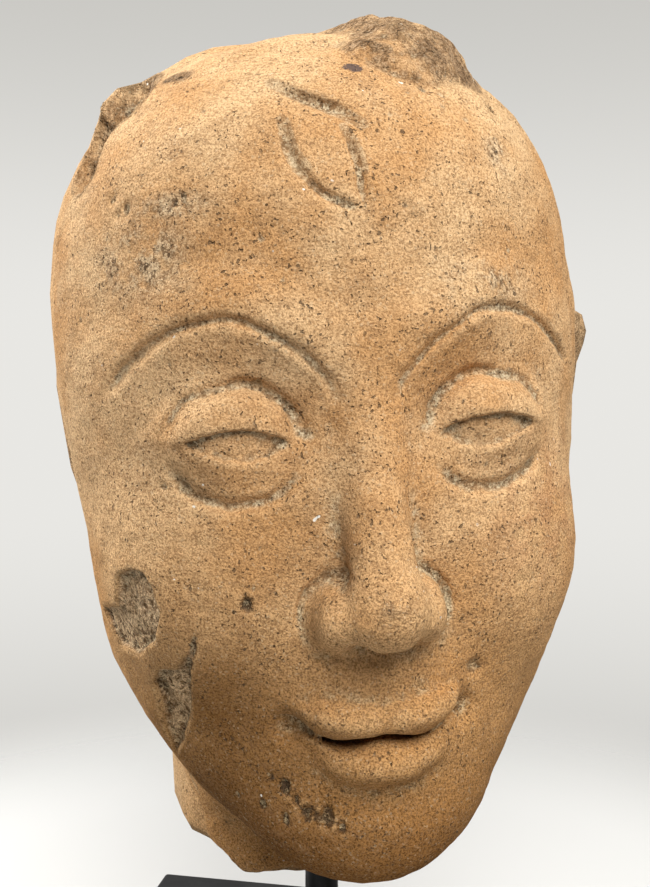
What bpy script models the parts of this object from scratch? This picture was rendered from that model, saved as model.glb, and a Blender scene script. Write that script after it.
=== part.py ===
"""A broken terracotta head, turned on a round rod that stands in a black block.

The frame is in metres with +Z up. Its origin is the centre of the block's underside, and the block's
edges run along X and Y. The head looks towards -Y, turned towards +X by HEAD_TURN.
"""

import itertools
import math

import bmesh
import bpy
import numpy as np
from mathutils import Matrix

# Stand
BASE_WIDTH = 0.112
BASE_DEPTH = 0.092
BASE_HEIGHT = 0.020
BASE_EDGE = 0.0012
ROD_DIAMETER = 0.008
ROD_IN_BASE = 0.014
ROD_ABOVE_CHIN = 0.030
ROD_EDGE = 0.0006
ROD_SIDES = 32
SHARP_ANGLE = math.radians(40.0)
CLEARANCE = 0.0003
CHIN_ABOVE_BASE = 0.044

# Head
HEAD_HEIGHT = 0.185
HEAD_ASIDE = 0.0045
HEAD_TURN = math.radians(21.0)
HEAD_LEAN = math.radians(-3.0)

# Mesh of the head
SAMPLE_STEP = 0.0012
HEAD_TRIANGLES = 9000
ROUNDING = 1e-5
SAMPLE_MARGIN = 0.012
NOISE_SEED = 7

# Everything below this line is in shares of HEAD_HEIGHT, in the head's own space: x to the viewer's
# right, y to the back, z up from the bottom of the chin. The face's middle is at x = 0, and the rod's
# axis is HEAD_ASIDE to the viewer's left of it, at y = 0.
FACE_THIRD = 0.293
NOSE_BASE = FACE_THIRD
MOUTH_LINE = 2 / 3 * FACE_THIRD
EYE_LINE = 0.515
HEAD_HALF_WIDTH = 0.315
EYE_WIDTH = 2 * HEAD_HALF_WIDTH / 5
EYE_OUT = EYE_WIDTH
MOUTH_HALF_WIDTH = 0.092
BROW_ARC = ((0.022, 0.545), (0.06, 0.6), (0.13, 0.642), (0.21, 0.625), (0.262, 0.57))
LID_CREASE = ((0.058, 0.5), (0.082, 0.546), (0.13, 0.566), (0.182, 0.55), (0.214, 0.505))
UNDER_EYE = ((0.066, 0.482), (0.1, 0.452), (0.14, 0.446), (0.18, 0.462), (0.208, 0.492))
WING_GROOVE = ((0.032, 0.372), (0.052, 0.369), (0.07, 0.352), (0.077, 0.325), (0.072, 0.302))
LINE_WANDER = 0.0025
LINE_WAVE = 0.03
NECK_BREAK = -0.06
HAIR_DEPTH = 0.01
HAIR_FADE = (-0.15, 0.1)
HAIRLINE = (-0.13, 0.93)
HAIR_SLOPE = (0.85, 0.525)
HAIR_LUMP = (0.075, 0.01, 0.862)
HAIR_LUMP_SIZE = (0.12, 0.215, 0.118)
HAIR_RIM = ((-0.1, -0.02, 0.92), (-0.205, -0.04, 0.87), (-0.243, -0.04, 0.785))
HAIR_SCOOPS = (
    ((-0.268, -0.09, 0.822), (-0.258, -0.078, 0.858)),
    ((-0.232, -0.094, 0.882), (-0.21, -0.06, 0.914)),
)
SCOOP_RADII = (0.03, 0.028)
EYE_BAR = ((-0.069, 0.875), (-0.043, 0.858), (-0.015, 0.844), (0.013, 0.825))
EYE_LEAF_LEFT = ((-0.066, 0.828), (-0.065, 0.8), (-0.053, 0.775), (-0.033, 0.751), (0.006, 0.732))
EYE_LEAF_RIGHT = ((-0.01, 0.82), (-0.002, 0.795), (0.003, 0.769), (0.006, 0.732))
UPPER_CHIP = (
    (-0.264, -0.178, 0.37),
    (-0.251, -0.201, 0.38),
    (-0.237, -0.219, 0.378),
    (-0.228, -0.228, 0.363),
    (-0.223, -0.23, 0.335),
    (-0.226, -0.213, 0.297),
    (-0.248, -0.157, 0.271),
    (-0.265, -0.106, 0.268),
    (-0.285, -0.062, 0.31),
    (-0.268, -0.157, 0.331),
)
LOWER_CHIP = (
    (-0.184, -0.253, 0.328),
    (-0.188, -0.24, 0.288),
    (-0.194, -0.21, 0.242),
    (-0.193, -0.191, 0.21),
    (-0.202, -0.157, 0.166),
    (-0.211, -0.115, 0.137),
    (-0.219, -0.123, 0.159),
    (-0.224, -0.133, 0.183),
    (-0.228, -0.15, 0.218),
    (-0.234, -0.157, 0.239),
    (-0.23, -0.185, 0.263),
    (-0.211, -0.212, 0.269),
    (-0.2, -0.231, 0.287),
)
CHIP_DEPTH = 0.01
CHIP_WALL = 0.007
CHIP_UNEVEN = 0.4
CHIP_WAVE = 0.03
PITS = ((0.115, -0.262, 0.247, 0.014), (-0.108, -0.266, 0.569, 0.005))
SPACE_LOW = (-0.4, -0.43, -0.16)
SPACE_HIGH = (0.4, 0.43, 1.06)


def ellipsoid(p, centre, radii):
    """Signed distance, nearly, from an ellipsoid with its axes along x, y and z."""
    q = (p - np.array(centre)) / np.array(radii)
    near = np.sqrt((q * q).sum(-1))
    slope = np.sqrt(((q / np.array(radii)) ** 2).sum(-1))
    return near * (near - 1) / np.maximum(slope, 1e-6)


def limb(p, start, end, start_radius, end_radius):
    """Signed distance, nearly, from a round-ended limb that swells from one radius to the other."""
    start, end = np.array(start), np.array(end)
    axis = end - start
    along = np.clip((p - start) @ axis / (axis @ axis), 0, 1)
    gap = p - start - along[..., None] * axis
    return np.sqrt((gap * gap).sum(-1)) - (start_radius + (end_radius - start_radius) * along)


def join(a, b, blend):
    """Union of two fields, with a fillet about as wide as blend."""
    mix = np.clip(0.5 + 0.5 * (b - a) / blend, 0, 1)
    return b + (a - b) * mix - blend * mix * (1 - mix)


def cut(a, b, blend):
    """Field a with b taken away, with a rounded edge about as wide as blend."""
    return -join(-a, b, blend)


def curve(points, steps=24):
    """A smooth line through a few points, as a dense row of points."""
    points = np.array(points, float)
    ends = np.vstack([2 * points[0] - points[1], points, 2 * points[-1] - points[-2]])
    t = np.linspace(0, 1, steps, endpoint=False)[:, None]
    spans = []
    for before, a, b, after in zip(ends, ends[1:], ends[2:], ends[3:]):
        bend = 2 * before - 5 * a + 4 * b - after
        twist = 3 * (a - b) + after - before
        spans.append(a + 0.5 * t * (b - before + t * (bend + t * twist)))
    return np.vstack([*spans, points[-1:]])


def line_distance(x, z, line, reach):
    """Distance in a plane from a line of points, or reach where it is further."""
    out = np.full(x.shape, reach)
    low, high = line.min(0) - reach, line.max(0) + reach
    near = (x > low[0]) & (x < high[0]) & (z > low[1]) & (z < high[1])
    at = np.stack([x[near], z[near]], -1)
    best = np.full(len(at), reach)
    for a, b in zip(line, line[1:]):
        along = np.clip((at - a) @ (b - a) / ((b - a) @ (b - a)), 0, 1)
        best = np.minimum(best, np.hypot(*(at - a - along[:, None] * (b - a)).T))
    out[near] = best
    return out


def lump(distance, width):
    """1 on a line and 0 beyond width, with a smooth fall between."""
    t = np.clip(1 - distance / width, 0, 1)
    return t * t * (3 - 2 * t)


def noise(p, scale, seed):
    """Smooth random values from -1 to 1 with waves about as long as scale."""
    size = 32
    table = np.random.default_rng(seed).uniform(-1, 1, (size, size, size))
    q = p / scale
    cell = np.floor(q).astype(int)
    t = q - cell
    t = t * t * (3 - 2 * t)
    total = 0
    for dx in (0, 1):
        for dy in (0, 1):
            for dz in (0, 1):
                weight = (t[..., 0] if dx else 1 - t[..., 0]) * (t[..., 1] if dy else 1 - t[..., 1])
                weight = weight * (t[..., 2] if dz else 1 - t[..., 2])
                at = (cell + (dx, dy, dz)) % size
                total = total + weight * table[at[..., 0], at[..., 1], at[..., 2]]
    return total


def skull_and_jaw(q):
    skull = ellipsoid(q, (0, 0.04, 0.65), (0.322, 0.322, 0.318))
    face = ellipsoid(q, (0, -0.03, 0.43), (0.296, 0.262, 0.42))
    forehead = ellipsoid(q, (0, -0.03, 0.755), (0.275, 0.25, 0.185))
    head = join(join(skull, face, 0.1), forehead, 0.06)
    head = join(head, limb(q, (0.16, -0.01, 0.27), (0.055, -0.17, 0.1), 0.085, 0.08), 0.09)
    head = join(head, ellipsoid(q, (0.135, -0.145, 0.36), (0.12, 0.11, 0.14)), 0.06)
    head = join(head, ellipsoid(q, (0, -0.165, 0.22), (0.115, 0.122, 0.13)), 0.05)
    return join(head, ellipsoid(q, (0, -0.213, 0.08), (0.08, 0.07, 0.072)), 0.05)


def incised(q, head, line, width, height):
    """The field with a ridge that wanders a little along a line, or a groove where height is below 0."""
    line = np.array(line)
    low, high = line.min(0) - 2 * width, line.max(0) + 2 * width
    x, y, z = q.T
    near = (y < 0) & (x > low[0]) & (x < high[0]) & (z > low[1]) & (z < high[1])
    at = q[near]
    x = at[:, 0] + LINE_WANDER * noise(at, LINE_WAVE, NOISE_SEED)
    z = at[:, 2] + LINE_WANDER * noise(at, LINE_WAVE, NOISE_SEED + 1)
    ends = np.minimum(np.hypot(x - line[0, 0], z - line[0, 1]), np.hypot(x - line[-1, 0], z - line[-1, 1]))
    fade = np.clip(ends / (3 * width), 0.15, 1) * np.clip(-at[:, 1] / 0.1, 0, 1)
    changed = head.copy()
    changed[near] -= height * fade * lump(line_distance(x, z, line, width), width)
    return changed


def brows(q, head):
    arc = curve(BROW_ARC)
    head = incised(q, head, arc, 0.06, 0.014)
    return incised(q, head, arc - (0, 0.01), 0.009, -0.007)


def eye_sockets(q, head):
    socket = ellipsoid(q, (EYE_OUT + 0.004, -0.33, EYE_LINE + 0.016), (0.1, 0.064, 0.066))
    return cut(head, socket, 0.045)


def eyes(q, head):
    """Heavy lids that stand a little off the eyeball, between two incised lines."""
    ball = ellipsoid(q, (EYE_OUT, -0.198, EYE_LINE), (0.084, 0.078, 0.072))
    upper = ellipsoid(q, (EYE_OUT, -0.196, EYE_LINE + 0.003), (0.094, 0.091, 0.079))
    lower = ellipsoid(q, (EYE_OUT, -0.196, EYE_LINE - 0.002), (0.09, 0.086, 0.07))
    across = np.clip((q[:, 0] - EYE_OUT) / (0.5 * EYE_WIDTH), -1, 1)
    bow = 1 - across * across
    middle = EYE_LINE - 0.01 + 0.006 * across
    upper = cut(upper, q[:, 2] - middle - 0.02 * bow, 0.005)
    lower = cut(lower, middle - 0.018 * bow - q[:, 2], 0.005)
    head = join(join(head, lower, 0.02), upper, 0.006)
    head = join(head, ball, 0.003)
    head = incised(q, head, curve(LID_CREASE), 0.012, -0.008)
    return incised(q, head, curve(UNDER_EYE), 0.012, -0.007)


def nose(q, head):
    bridge = limb(q, (0, -0.258, 0.58), (0, -0.322, 0.372), 0.024, 0.034)
    tip = ellipsoid(q, (0, -0.332, NOSE_BASE + 0.045), (0.04, 0.043, 0.04))
    wing = ellipsoid(q, (0.045, -0.292, NOSE_BASE + 0.035), (0.025, 0.044, 0.033))
    form = join(join(bridge, tip, 0.02), wing, 0.018)
    head = join(head, cut(form, q[:, 2] - NOSE_BASE, 0.012), 0.022)
    head = incised(q, head, curve(WING_GROOVE), 0.011, -0.007)
    nostril = ellipsoid(q, (0.024, -0.322, NOSE_BASE + 0.002), (0.014, 0.022, 0.018))
    return cut(head, nostril, 0.006)


def mouth(q, head):
    """Full lips a little apart, with their corners just raised."""
    head = cut(head, limb(q, (0, -0.308, 0.288), (0, -0.306, 0.238), 0.006, 0.012), 0.016)
    head = cut(head, limb(q, (0, -0.315, 0.112), (0.045, -0.3, 0.122), 0.012, 0.008), 0.03)
    share = q[:, 0] / MOUTH_HALF_WIDTH
    rise = 0.012 * share ** 2
    at = np.stack([q[:, 0], q[:, 1], q[:, 2] - rise], -1)
    upper = ellipsoid(at, (0.022, -0.25, MOUTH_LINE + 0.019), (0.07, 0.058, 0.027))
    lower = ellipsoid(at, (0, -0.243, MOUTH_LINE - 0.032), (0.074, 0.062, 0.032))
    head = join(join(head, upper, 0.008), lower, 0.009)
    line = MOUTH_LINE - 0.006 + 0.005 * np.cos(2 * math.pi * np.clip(share, 0, 1))
    height = 0.0055 * np.clip(1 - share ** 2, 0, 1)
    gap = np.maximum(np.abs(at[:, 2] - line) - height, q[:, 1] + 0.25)
    head = cut(head, gap, 0.008)
    corner = ellipsoid(q, (MOUTH_HALF_WIDTH + 0.004, -0.262, MOUTH_LINE + 0.008), (0.011, 0.02, 0.014))
    return cut(head, corner, 0.022)


def broken(p, shape, height, coarse):
    """The field shape with the crests of broken clay on its surface, or creases if height is below 0."""
    near = np.abs(shape) < 4 * abs(height)
    at = p[near]
    first = 2 * np.abs(noise(at, coarse, NOISE_SEED)) - 1
    second = 2 * np.abs(noise(at, coarse / 2.3, NOISE_SEED + 1)) - 1
    uneven = shape.copy()
    uneven[near] += height * (0.6 * first + 0.3 * second + 0.2 * noise(at, coarse / 5, NOISE_SEED + 2))
    return uneven


def worn(p, head):
    """The slow unevenness of a surface modelled by hand."""
    near = np.abs(head) < 0.02
    uneven = head.copy()
    uneven[near] += 0.0025 * noise(p[near], 0.13, NOISE_SEED) + 0.001 * noise(p[near], 0.05, NOISE_SEED)
    return uneven


def broken_hair(p, head):
    """A worn cap behind the hairline, with a broken lump right of the crown and only a rim on the left."""
    wander = 0.02 * noise(p, 0.15, NOISE_SEED)
    behind = HAIR_SLOPE[0] * (p[:, 1] - HAIRLINE[0]) + HAIR_SLOPE[1] * (p[:, 2] - HAIRLINE[1])
    depth = HAIR_DEPTH * np.clip((p[:, 0] - HAIR_FADE[0]) / (HAIR_FADE[1] - HAIR_FADE[0]), 0, 1)
    cap = cut(broken(p, head - depth, -0.008, 0.16), behind + wander, 0.012)
    head = join(head, cap, 0.012)
    head = join(head, broken(p, ellipsoid(p, HAIR_LUMP, HAIR_LUMP_SIZE), 0.016, 0.11), 0.01)
    for start, end in zip(HAIR_RIM, HAIR_RIM[1:]):
        head = join(head, broken(p, limb(p, start, end, 0.036, 0.036), 0.008, 0.09), 0.02)
    for start, end in HAIR_SCOOPS:
        head = cut(head, broken(p, limb(p, start, end, *SCOOP_RADII), 0.01, 0.07), 0.004)
    return head


def third_eye(p, head):
    """An incised leaf that leans on the forehead, below a rough bar."""
    for side in (EYE_LEAF_LEFT, EYE_LEAF_RIGHT):
        head = incised(p, head, curve(side), 0.007, -0.007)
    return incised(p, head, curve(EYE_BAR), 0.011, -0.011)


def lost_share(p, outline):
    """1 inside an outline drawn on the side of the head and 0 outside it, with a narrow wall between."""
    outline = np.array(outline)
    middle = outline.mean(0)
    across = np.array((-middle[1], middle[0])) / np.hypot(middle[0], middle[1])
    near = np.linalg.norm(p - middle, axis=1) < np.linalg.norm(outline - middle, axis=1).max() + CHIP_WALL
    at = p[near]
    u = at[:, :2] @ across + LINE_WANDER * noise(at, LINE_WAVE, NOISE_SEED)
    v = at[:, 2] + LINE_WANDER * noise(at, LINE_WAVE, NOISE_SEED + 1)
    ring = np.stack([outline[:, :2] @ across, outline[:, 2]], -1)
    ring = np.vstack([ring, ring[:1]])
    inside = np.zeros(len(at), bool)
    for a, b in zip(ring, ring[1:]):
        side = (b[0] - a[0]) * (v - a[1]) - (b[1] - a[1]) * (u - a[0])
        inside ^= ((a[1] > v) != (b[1] > v)) & ((side > 0) == (b[1] > a[1]))
    share = np.zeros(len(p))
    share[near] = inside * (1 - lump(line_distance(u, v, ring, CHIP_WALL), CHIP_WALL))
    return share


def cheek_chips(p):
    """1 where the two chips on the left cheek are, the lower one with a straight edge towards the mouth."""
    return np.maximum(lost_share(p, UPPER_CHIP), lost_share(p, LOWER_CHIP))


def damage(p, head):
    share = cheek_chips(p)
    gone = share > 0
    head = head.copy()
    head[gone] += CHIP_DEPTH * share[gone] * (1 + CHIP_UNEVEN * noise(p[gone], CHIP_WAVE, NOISE_SEED))
    for x, y, z, radius in PITS:
        head = cut(head, ellipsoid(p, (x, y, z), (radius,) * 3), 0.003)
    return head


def ears(p, head):
    """Two broken stubs, the one on the left almost flush."""
    right = limb(p, (0.3, 0.05, 0.43), (0.325, 0.03, 0.6), 0.03, 0.036)
    left = limb(p, (-0.275, 0.05, 0.45), (-0.285, 0.04, 0.57), 0.024, 0.03)
    return join(join(head, broken(p, right, 0.014, 0.07), 0.015), broken(p, left, 0.014, 0.07), 0.015)


def neck(p, head):
    """A stub, broken off below the jaw and higher on the left."""
    x, y, z = p.T
    stub = limb(p, (-0.045, 0.05, -0.2), (-0.02, 0.07, 0.3), 0.165, 0.19)
    low = NECK_BREAK - 0.25 * y - z
    left = (NECK_BREAK - 0.6 * (x + 0.1) - z) / 1.17
    lost = broken(p, -np.maximum(low, left), 0.012, 0.09)
    return join(head, cut(stub, lost, 0.015), 0.045)


def head_field(p):
    """Signed distance, nearly, from the head's surface at points p, all in shares of HEAD_HEIGHT."""
    q = np.stack([np.abs(p[:, 0]), p[:, 1], p[:, 2]], -1)
    head = skull_and_jaw(q)
    for feature in (brows, eye_sockets, eyes, nose, mouth):
        head = feature(q, head)
    for feature in (ears, neck, broken_hair, worn, third_eye, damage):
        head = feature(p, head)
    return head


def sample_field(step):
    """A regular grid of points and the field at each, exact near the surface and rough elsewhere."""
    axes = [np.arange(low, high, step) for low, high in zip(SPACE_LOW, SPACE_HIGH)]
    points = np.stack(np.meshgrid(*axes, indexing="ij"), -1)
    middles = [low + step * (1.5 + 4 * np.arange(-(-len(axis) // 4))) for low, axis in zip(SPACE_LOW, axes)]
    blocks = np.stack(np.meshgrid(*middles, indexing="ij"), -1)
    values = head_field(blocks.reshape(-1, 3)).reshape(blocks.shape[:3])
    for axis, count in enumerate(points.shape[:3]):
        values = np.repeat(values, 4, axis).take(np.arange(count), axis)
    near = np.abs(values) < 4 * step + SAMPLE_MARGIN
    values[near] = head_field(points[near])
    return points, values


def mend(values):
    """Fills the places where two stretches of the surface would touch along one edge or at one corner."""
    low, high = slice(None, -1), slice(1, None)
    while True:
        solid = values < 0
        fill = np.zeros_like(solid)
        for square in ((0, 1), (0, 2), (1, 2)):
            cells = [[slice(None)] * 3 for _ in range(4)]
            for cell, (i, j) in zip(cells, ((low, low), (high, low), (high, high), (low, high))):
                cell[square[0]], cell[square[1]] = i, j
            a, b, c, d = (tuple(cell) for cell in cells)
            crossed = (solid[a] == solid[c]) & (solid[b] == solid[d]) & (solid[a] != solid[b])
            for cell in (a, b, c, d):
                fill[cell] |= crossed & ~solid[cell]
        for i, j in ((low, low), (low, high), (high, low), (high, high)):
            ends = ((low, i, j), (high, high if i is low else low, high if j is low else low))
            count = sum(solid[corner].astype(int) for corner in itertools.product((low, high), repeat=3))
            both = solid[ends[0]] & solid[ends[1]] & (count == 2)
            neither = ~solid[ends[0]] & ~solid[ends[1]] & (count == 6)
            fill[ends[0]] |= neither
            fill[low, low, low] |= both & ~solid[low, low, low]
            fill[low, high, low] |= both & ~solid[low, high, low]
            fill[high, high, low] |= both & ~solid[high, high, low]
        if not fill.any():
            return values
        values = np.where(fill, -np.abs(values), values)


def surface_net(points, values):
    """A vertex in each cell that the zero surface crosses, and a four-sided face round each crossed edge."""
    inside = values < 0
    counts = sum(
        inside[i : i - 1 or None, j : j - 1 or None, k : k - 1 or None].astype(np.int8)
        for i in (0, 1)
        for j in (0, 1)
        for k in (0, 1)
    )
    cells = np.argwhere((counts > 0) & (counts < 8))
    number = np.full(counts.shape, -1)
    number[tuple(cells.T)] = np.arange(len(cells))
    corners = [(i, j, k) for i in (0, 1) for j in (0, 1) for k in (0, 1)]
    total, crossings = np.zeros((len(cells), 3)), np.zeros((len(cells), 1))
    for a in corners:
        for b in corners:
            if sum(b) != sum(a) + 1 or any(n < m for m, n in zip(a, b)):
                continue
            first, second = tuple((cells + a).T), tuple((cells + b).T)
            va, vb = values[first], values[second]
            crossed = (va < 0) != (vb < 0)
            share = np.where(crossed, va / np.where(crossed, va - vb, 1), 0)[:, None]
            total += crossed[:, None] * (points[first] + share * (points[second] - points[first]))
            crossings += crossed[:, None]
    faces = []
    for axis in range(3):
        u, v = (np.eye(3, dtype=int)[(axis + n) % 3] for n in (1, 2))
        along = np.eye(3, dtype=int)[axis]
        last = inside.shape - along
        here = inside[: last[0], : last[1], : last[2]]
        ahead = inside[along[0] :, along[1] :, along[2] :]
        for edges, order in ((here & ~ahead, 1), (~here & ahead, -1)):
            at = np.argwhere(edges)
            ring = [number[tuple((at - back).T)] for back in (0 * u, u, u + v, v)]
            faces.append(np.stack(ring[::order], -1))
    return total / crossings, np.vstack(faces)


def material(name, colour, roughness):
    made = bpy.data.materials.new(name)
    made.use_nodes = True
    shader = made.node_tree.nodes["Principled BSDF"]
    shader.inputs["Base Color"].default_value = (*colour, 1)
    shader.inputs["Roughness"].default_value = roughness
    shader.inputs["Metallic"].default_value = 0
    return made


def add_object(name, mesh, surface=None):
    made = bpy.data.objects.new(name, mesh)
    bpy.context.scene.collection.objects.link(made)
    if surface:
        mesh.materials.append(surface)
    return made


def cylinder(name, radius, low, high, edge=0):
    """A round bar on the Z axis from low to high, with its two rims bevelled by edge."""
    shape = bmesh.new()
    place = Matrix.Translation((0, 0, (low + high) / 2))
    bmesh.ops.create_cone(
        shape, cap_ends=True, segments=ROD_SIDES, radius1=radius, radius2=radius, depth=high - low, matrix=place
    )
    if edge:
        rims = [line for line in shape.edges if abs(line.verts[0].co.z - line.verts[1].co.z) < edge]
        bmesh.ops.bevel(shape, geom=rims, offset=edge, segments=2, profile=0.5, affect="EDGES")
    mesh = bpy.data.meshes.new(name)
    shape.to_mesh(mesh)
    shape.free()
    mesh.shade_smooth()
    mesh.set_sharp_from_angle(angle=SHARP_ANGLE)
    return mesh


def bore(target, name, low, high):
    """Cuts a round socket for the rod into target, with CLEARANCE all round."""
    cutter = add_object(name, cylinder(name, ROD_DIAMETER / 2 + CLEARANCE, low, high))
    cutter.hide_render = True
    cutter.display_type = "WIRE"
    socket = target.modifiers.new("Rod socket", "BOOLEAN")
    socket.operation = "DIFFERENCE"
    socket.object = cutter


def make_head():
    points, values = sample_field(SAMPLE_STEP / HEAD_HEIGHT)
    corners, faces = surface_net(points, mend(values))
    corners = np.round(corners * HEAD_HEIGHT / ROUNDING) * ROUNDING
    corners[:, 0] += HEAD_ASIDE
    mesh = bpy.data.meshes.new("terracotta_head")
    mesh.from_pydata(corners.tolist(), [], faces.tolist())
    mesh.shade_smooth()
    head = add_object("terracotta_head", mesh, material("terracotta", (0.56, 0.33, 0.18), 0.9))
    head.location = (0, 0, BASE_HEIGHT + CHIN_ABOVE_BASE)
    head.rotation_euler = (0, HEAD_LEAN, HEAD_TURN)
    fewer = head.modifiers.new("Fewer faces", "DECIMATE")
    fewer.ratio = HEAD_TRIANGLES / (2 * len(faces))
    fewer.use_collapse_triangulate = True
    return head


def make_rod(low, high):
    mesh = cylinder("stand_rod", ROD_DIAMETER / 2, low, high, ROD_EDGE)
    return add_object("stand_rod", mesh, material("black_rod", (0.012, 0.012, 0.013), 0.45))


def make_base():
    shape = bmesh.new()
    bmesh.ops.create_cube(shape, size=1)
    bmesh.ops.scale(shape, verts=shape.verts, vec=(BASE_WIDTH, BASE_DEPTH, BASE_HEIGHT))
    bmesh.ops.translate(shape, verts=shape.verts, vec=(0, 0, BASE_HEIGHT / 2))
    bmesh.ops.bevel(shape, geom=shape.edges[:], offset=BASE_EDGE, segments=2, profile=0.5, affect="EDGES")
    mesh = bpy.data.meshes.new("stand_base")
    shape.to_mesh(mesh)
    shape.free()
    return add_object("stand_base", mesh, material("black_block", (0.015, 0.015, 0.016), 0.55))


def main():
    for old in list(bpy.data.objects):
        bpy.data.objects.remove(old)
    rod_low = BASE_HEIGHT - ROD_IN_BASE
    rod_high = BASE_HEIGHT + CHIN_ABOVE_BASE + ROD_ABOVE_CHIN
    bore(make_head(), "head_socket", BASE_HEIGHT, rod_high + CLEARANCE)
    bore(make_base(), "base_socket", rod_low - CLEARANCE, rod_high)
    make_rod(rod_low, rod_high)


main()
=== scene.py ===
"""The finished look of a broken terracotta head on a black rod and block.

The head's form is worked out again on a finer grid from the same sizes as the solid, kept inside the
solid's box, and given its grain, pits and patina, with some painted shade on the lower face, under the chin
and in its hollows. Lengths are shares of the head's height where a comment or a docstring doesn't say
metres.
"""

import math

import bmesh
import bpy
import numpy as np
from mathutils import Matrix, Vector, kdtree


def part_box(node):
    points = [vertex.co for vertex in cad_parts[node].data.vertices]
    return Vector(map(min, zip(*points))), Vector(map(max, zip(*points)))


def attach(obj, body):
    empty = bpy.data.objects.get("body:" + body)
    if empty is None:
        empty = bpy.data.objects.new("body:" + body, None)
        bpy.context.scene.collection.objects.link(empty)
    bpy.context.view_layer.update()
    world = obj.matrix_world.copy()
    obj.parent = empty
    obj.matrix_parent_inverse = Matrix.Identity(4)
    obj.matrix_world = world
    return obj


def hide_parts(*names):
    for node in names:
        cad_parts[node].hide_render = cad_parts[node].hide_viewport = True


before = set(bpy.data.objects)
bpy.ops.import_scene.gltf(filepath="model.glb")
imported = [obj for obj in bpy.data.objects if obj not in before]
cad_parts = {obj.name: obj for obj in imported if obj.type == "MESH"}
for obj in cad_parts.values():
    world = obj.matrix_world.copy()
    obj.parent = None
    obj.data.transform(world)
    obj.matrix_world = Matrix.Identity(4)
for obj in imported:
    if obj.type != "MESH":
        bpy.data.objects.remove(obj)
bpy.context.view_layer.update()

# How the head stands and how finely it is made, in metres
HEAD_HEIGHT = 0.185
HEAD_ASIDE = 0.0045
CHIN_ABOVE_BASE = 0.044
HEAD_TURN = math.radians(21.0)
HEAD_LEAN = math.radians(-3.0)
SAMPLE_STEP = 0.0007
HEAD_TRIANGLES = 190000
ROUNDING = 1e-5
NOISE_SEED = 7
CLEARANCE = 0.0003

# The head's own space, in shares: x to the viewer's right, y to the back, z up from the bottom of the chin
FACE_THIRD = 0.293
NOSE_BASE = FACE_THIRD
MOUTH_LINE = 2 / 3 * FACE_THIRD
EYE_LINE = 0.515
HEAD_HALF_WIDTH = 0.315
EYE_WIDTH = 2 * HEAD_HALF_WIDTH / 5
EYE_OUT = EYE_WIDTH
MOUTH_HALF_WIDTH = 0.092
BROW_ARC = ((0.022, 0.545), (0.06, 0.6), (0.13, 0.642), (0.21, 0.625), (0.262, 0.57))
LID_CREASE = ((0.058, 0.5), (0.082, 0.546), (0.13, 0.566), (0.182, 0.55), (0.214, 0.505))
UNDER_EYE = ((0.066, 0.482), (0.1, 0.452), (0.14, 0.446), (0.18, 0.462), (0.208, 0.492))
WING_GROOVE = ((0.032, 0.372), (0.052, 0.369), (0.07, 0.352), (0.077, 0.325), (0.072, 0.302))
LINE_WANDER = 0.0025
LINE_WAVE = 0.03
NECK_BREAK = -0.06
HAIR_DEPTH = 0.01
HAIR_FADE = (-0.15, 0.1)
HAIRLINE = (-0.13, 0.93)
HAIR_SLOPE = (0.85, 0.525)
HAIR_LUMP = (0.075, 0.01, 0.862)
HAIR_LUMP_SIZE = (0.12, 0.215, 0.118)
HAIR_RIM = ((-0.1, -0.02, 0.92), (-0.205, -0.04, 0.87), (-0.243, -0.04, 0.785))
HAIR_SCOOPS = (
    ((-0.268, -0.09, 0.822), (-0.258, -0.078, 0.858)),
    ((-0.232, -0.094, 0.882), (-0.21, -0.06, 0.914)),
)
SCOOP_RADII = (0.03, 0.028)
EYE_BAR = ((-0.069, 0.875), (-0.043, 0.858), (-0.015, 0.844), (0.013, 0.825))
EYE_LEAF_LEFT = ((-0.066, 0.828), (-0.065, 0.8), (-0.053, 0.775), (-0.033, 0.751), (0.006, 0.732))
EYE_LEAF_RIGHT = ((-0.01, 0.82), (-0.002, 0.795), (0.003, 0.769), (0.006, 0.732))
UPPER_CHIP = (
    (-0.264, -0.178, 0.37),
    (-0.251, -0.201, 0.38),
    (-0.237, -0.219, 0.378),
    (-0.228, -0.228, 0.363),
    (-0.223, -0.23, 0.335),
    (-0.226, -0.213, 0.297),
    (-0.248, -0.157, 0.271),
    (-0.265, -0.106, 0.268),
    (-0.285, -0.062, 0.31),
    (-0.268, -0.157, 0.331),
)
LOWER_CHIP = (
    (-0.184, -0.253, 0.328),
    (-0.188, -0.24, 0.288),
    (-0.194, -0.21, 0.242),
    (-0.193, -0.191, 0.21),
    (-0.202, -0.157, 0.166),
    (-0.211, -0.115, 0.137),
    (-0.219, -0.123, 0.159),
    (-0.224, -0.133, 0.183),
    (-0.228, -0.15, 0.218),
    (-0.234, -0.157, 0.239),
    (-0.23, -0.185, 0.263),
    (-0.211, -0.212, 0.269),
    (-0.2, -0.231, 0.287),
)
CHIP_DEPTH = 0.01
CHIP_WALL = 0.007
CHIP_UNEVEN = 0.4
CHIP_WAVE = 0.03
PITS = ((0.115, -0.262, 0.247, 0.014), (-0.108, -0.266, 0.569, 0.005))
SPACE_LOW = np.array((-0.4, -0.43, -0.16))
SPACE_HIGH = np.array((0.4, 0.43, 1.06))
SAMPLE_MARGIN = 0.012
SAMPLE_BLOCK = 4
BACK_START = -0.04
FRONT_WEIGHT = 0.45

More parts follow.
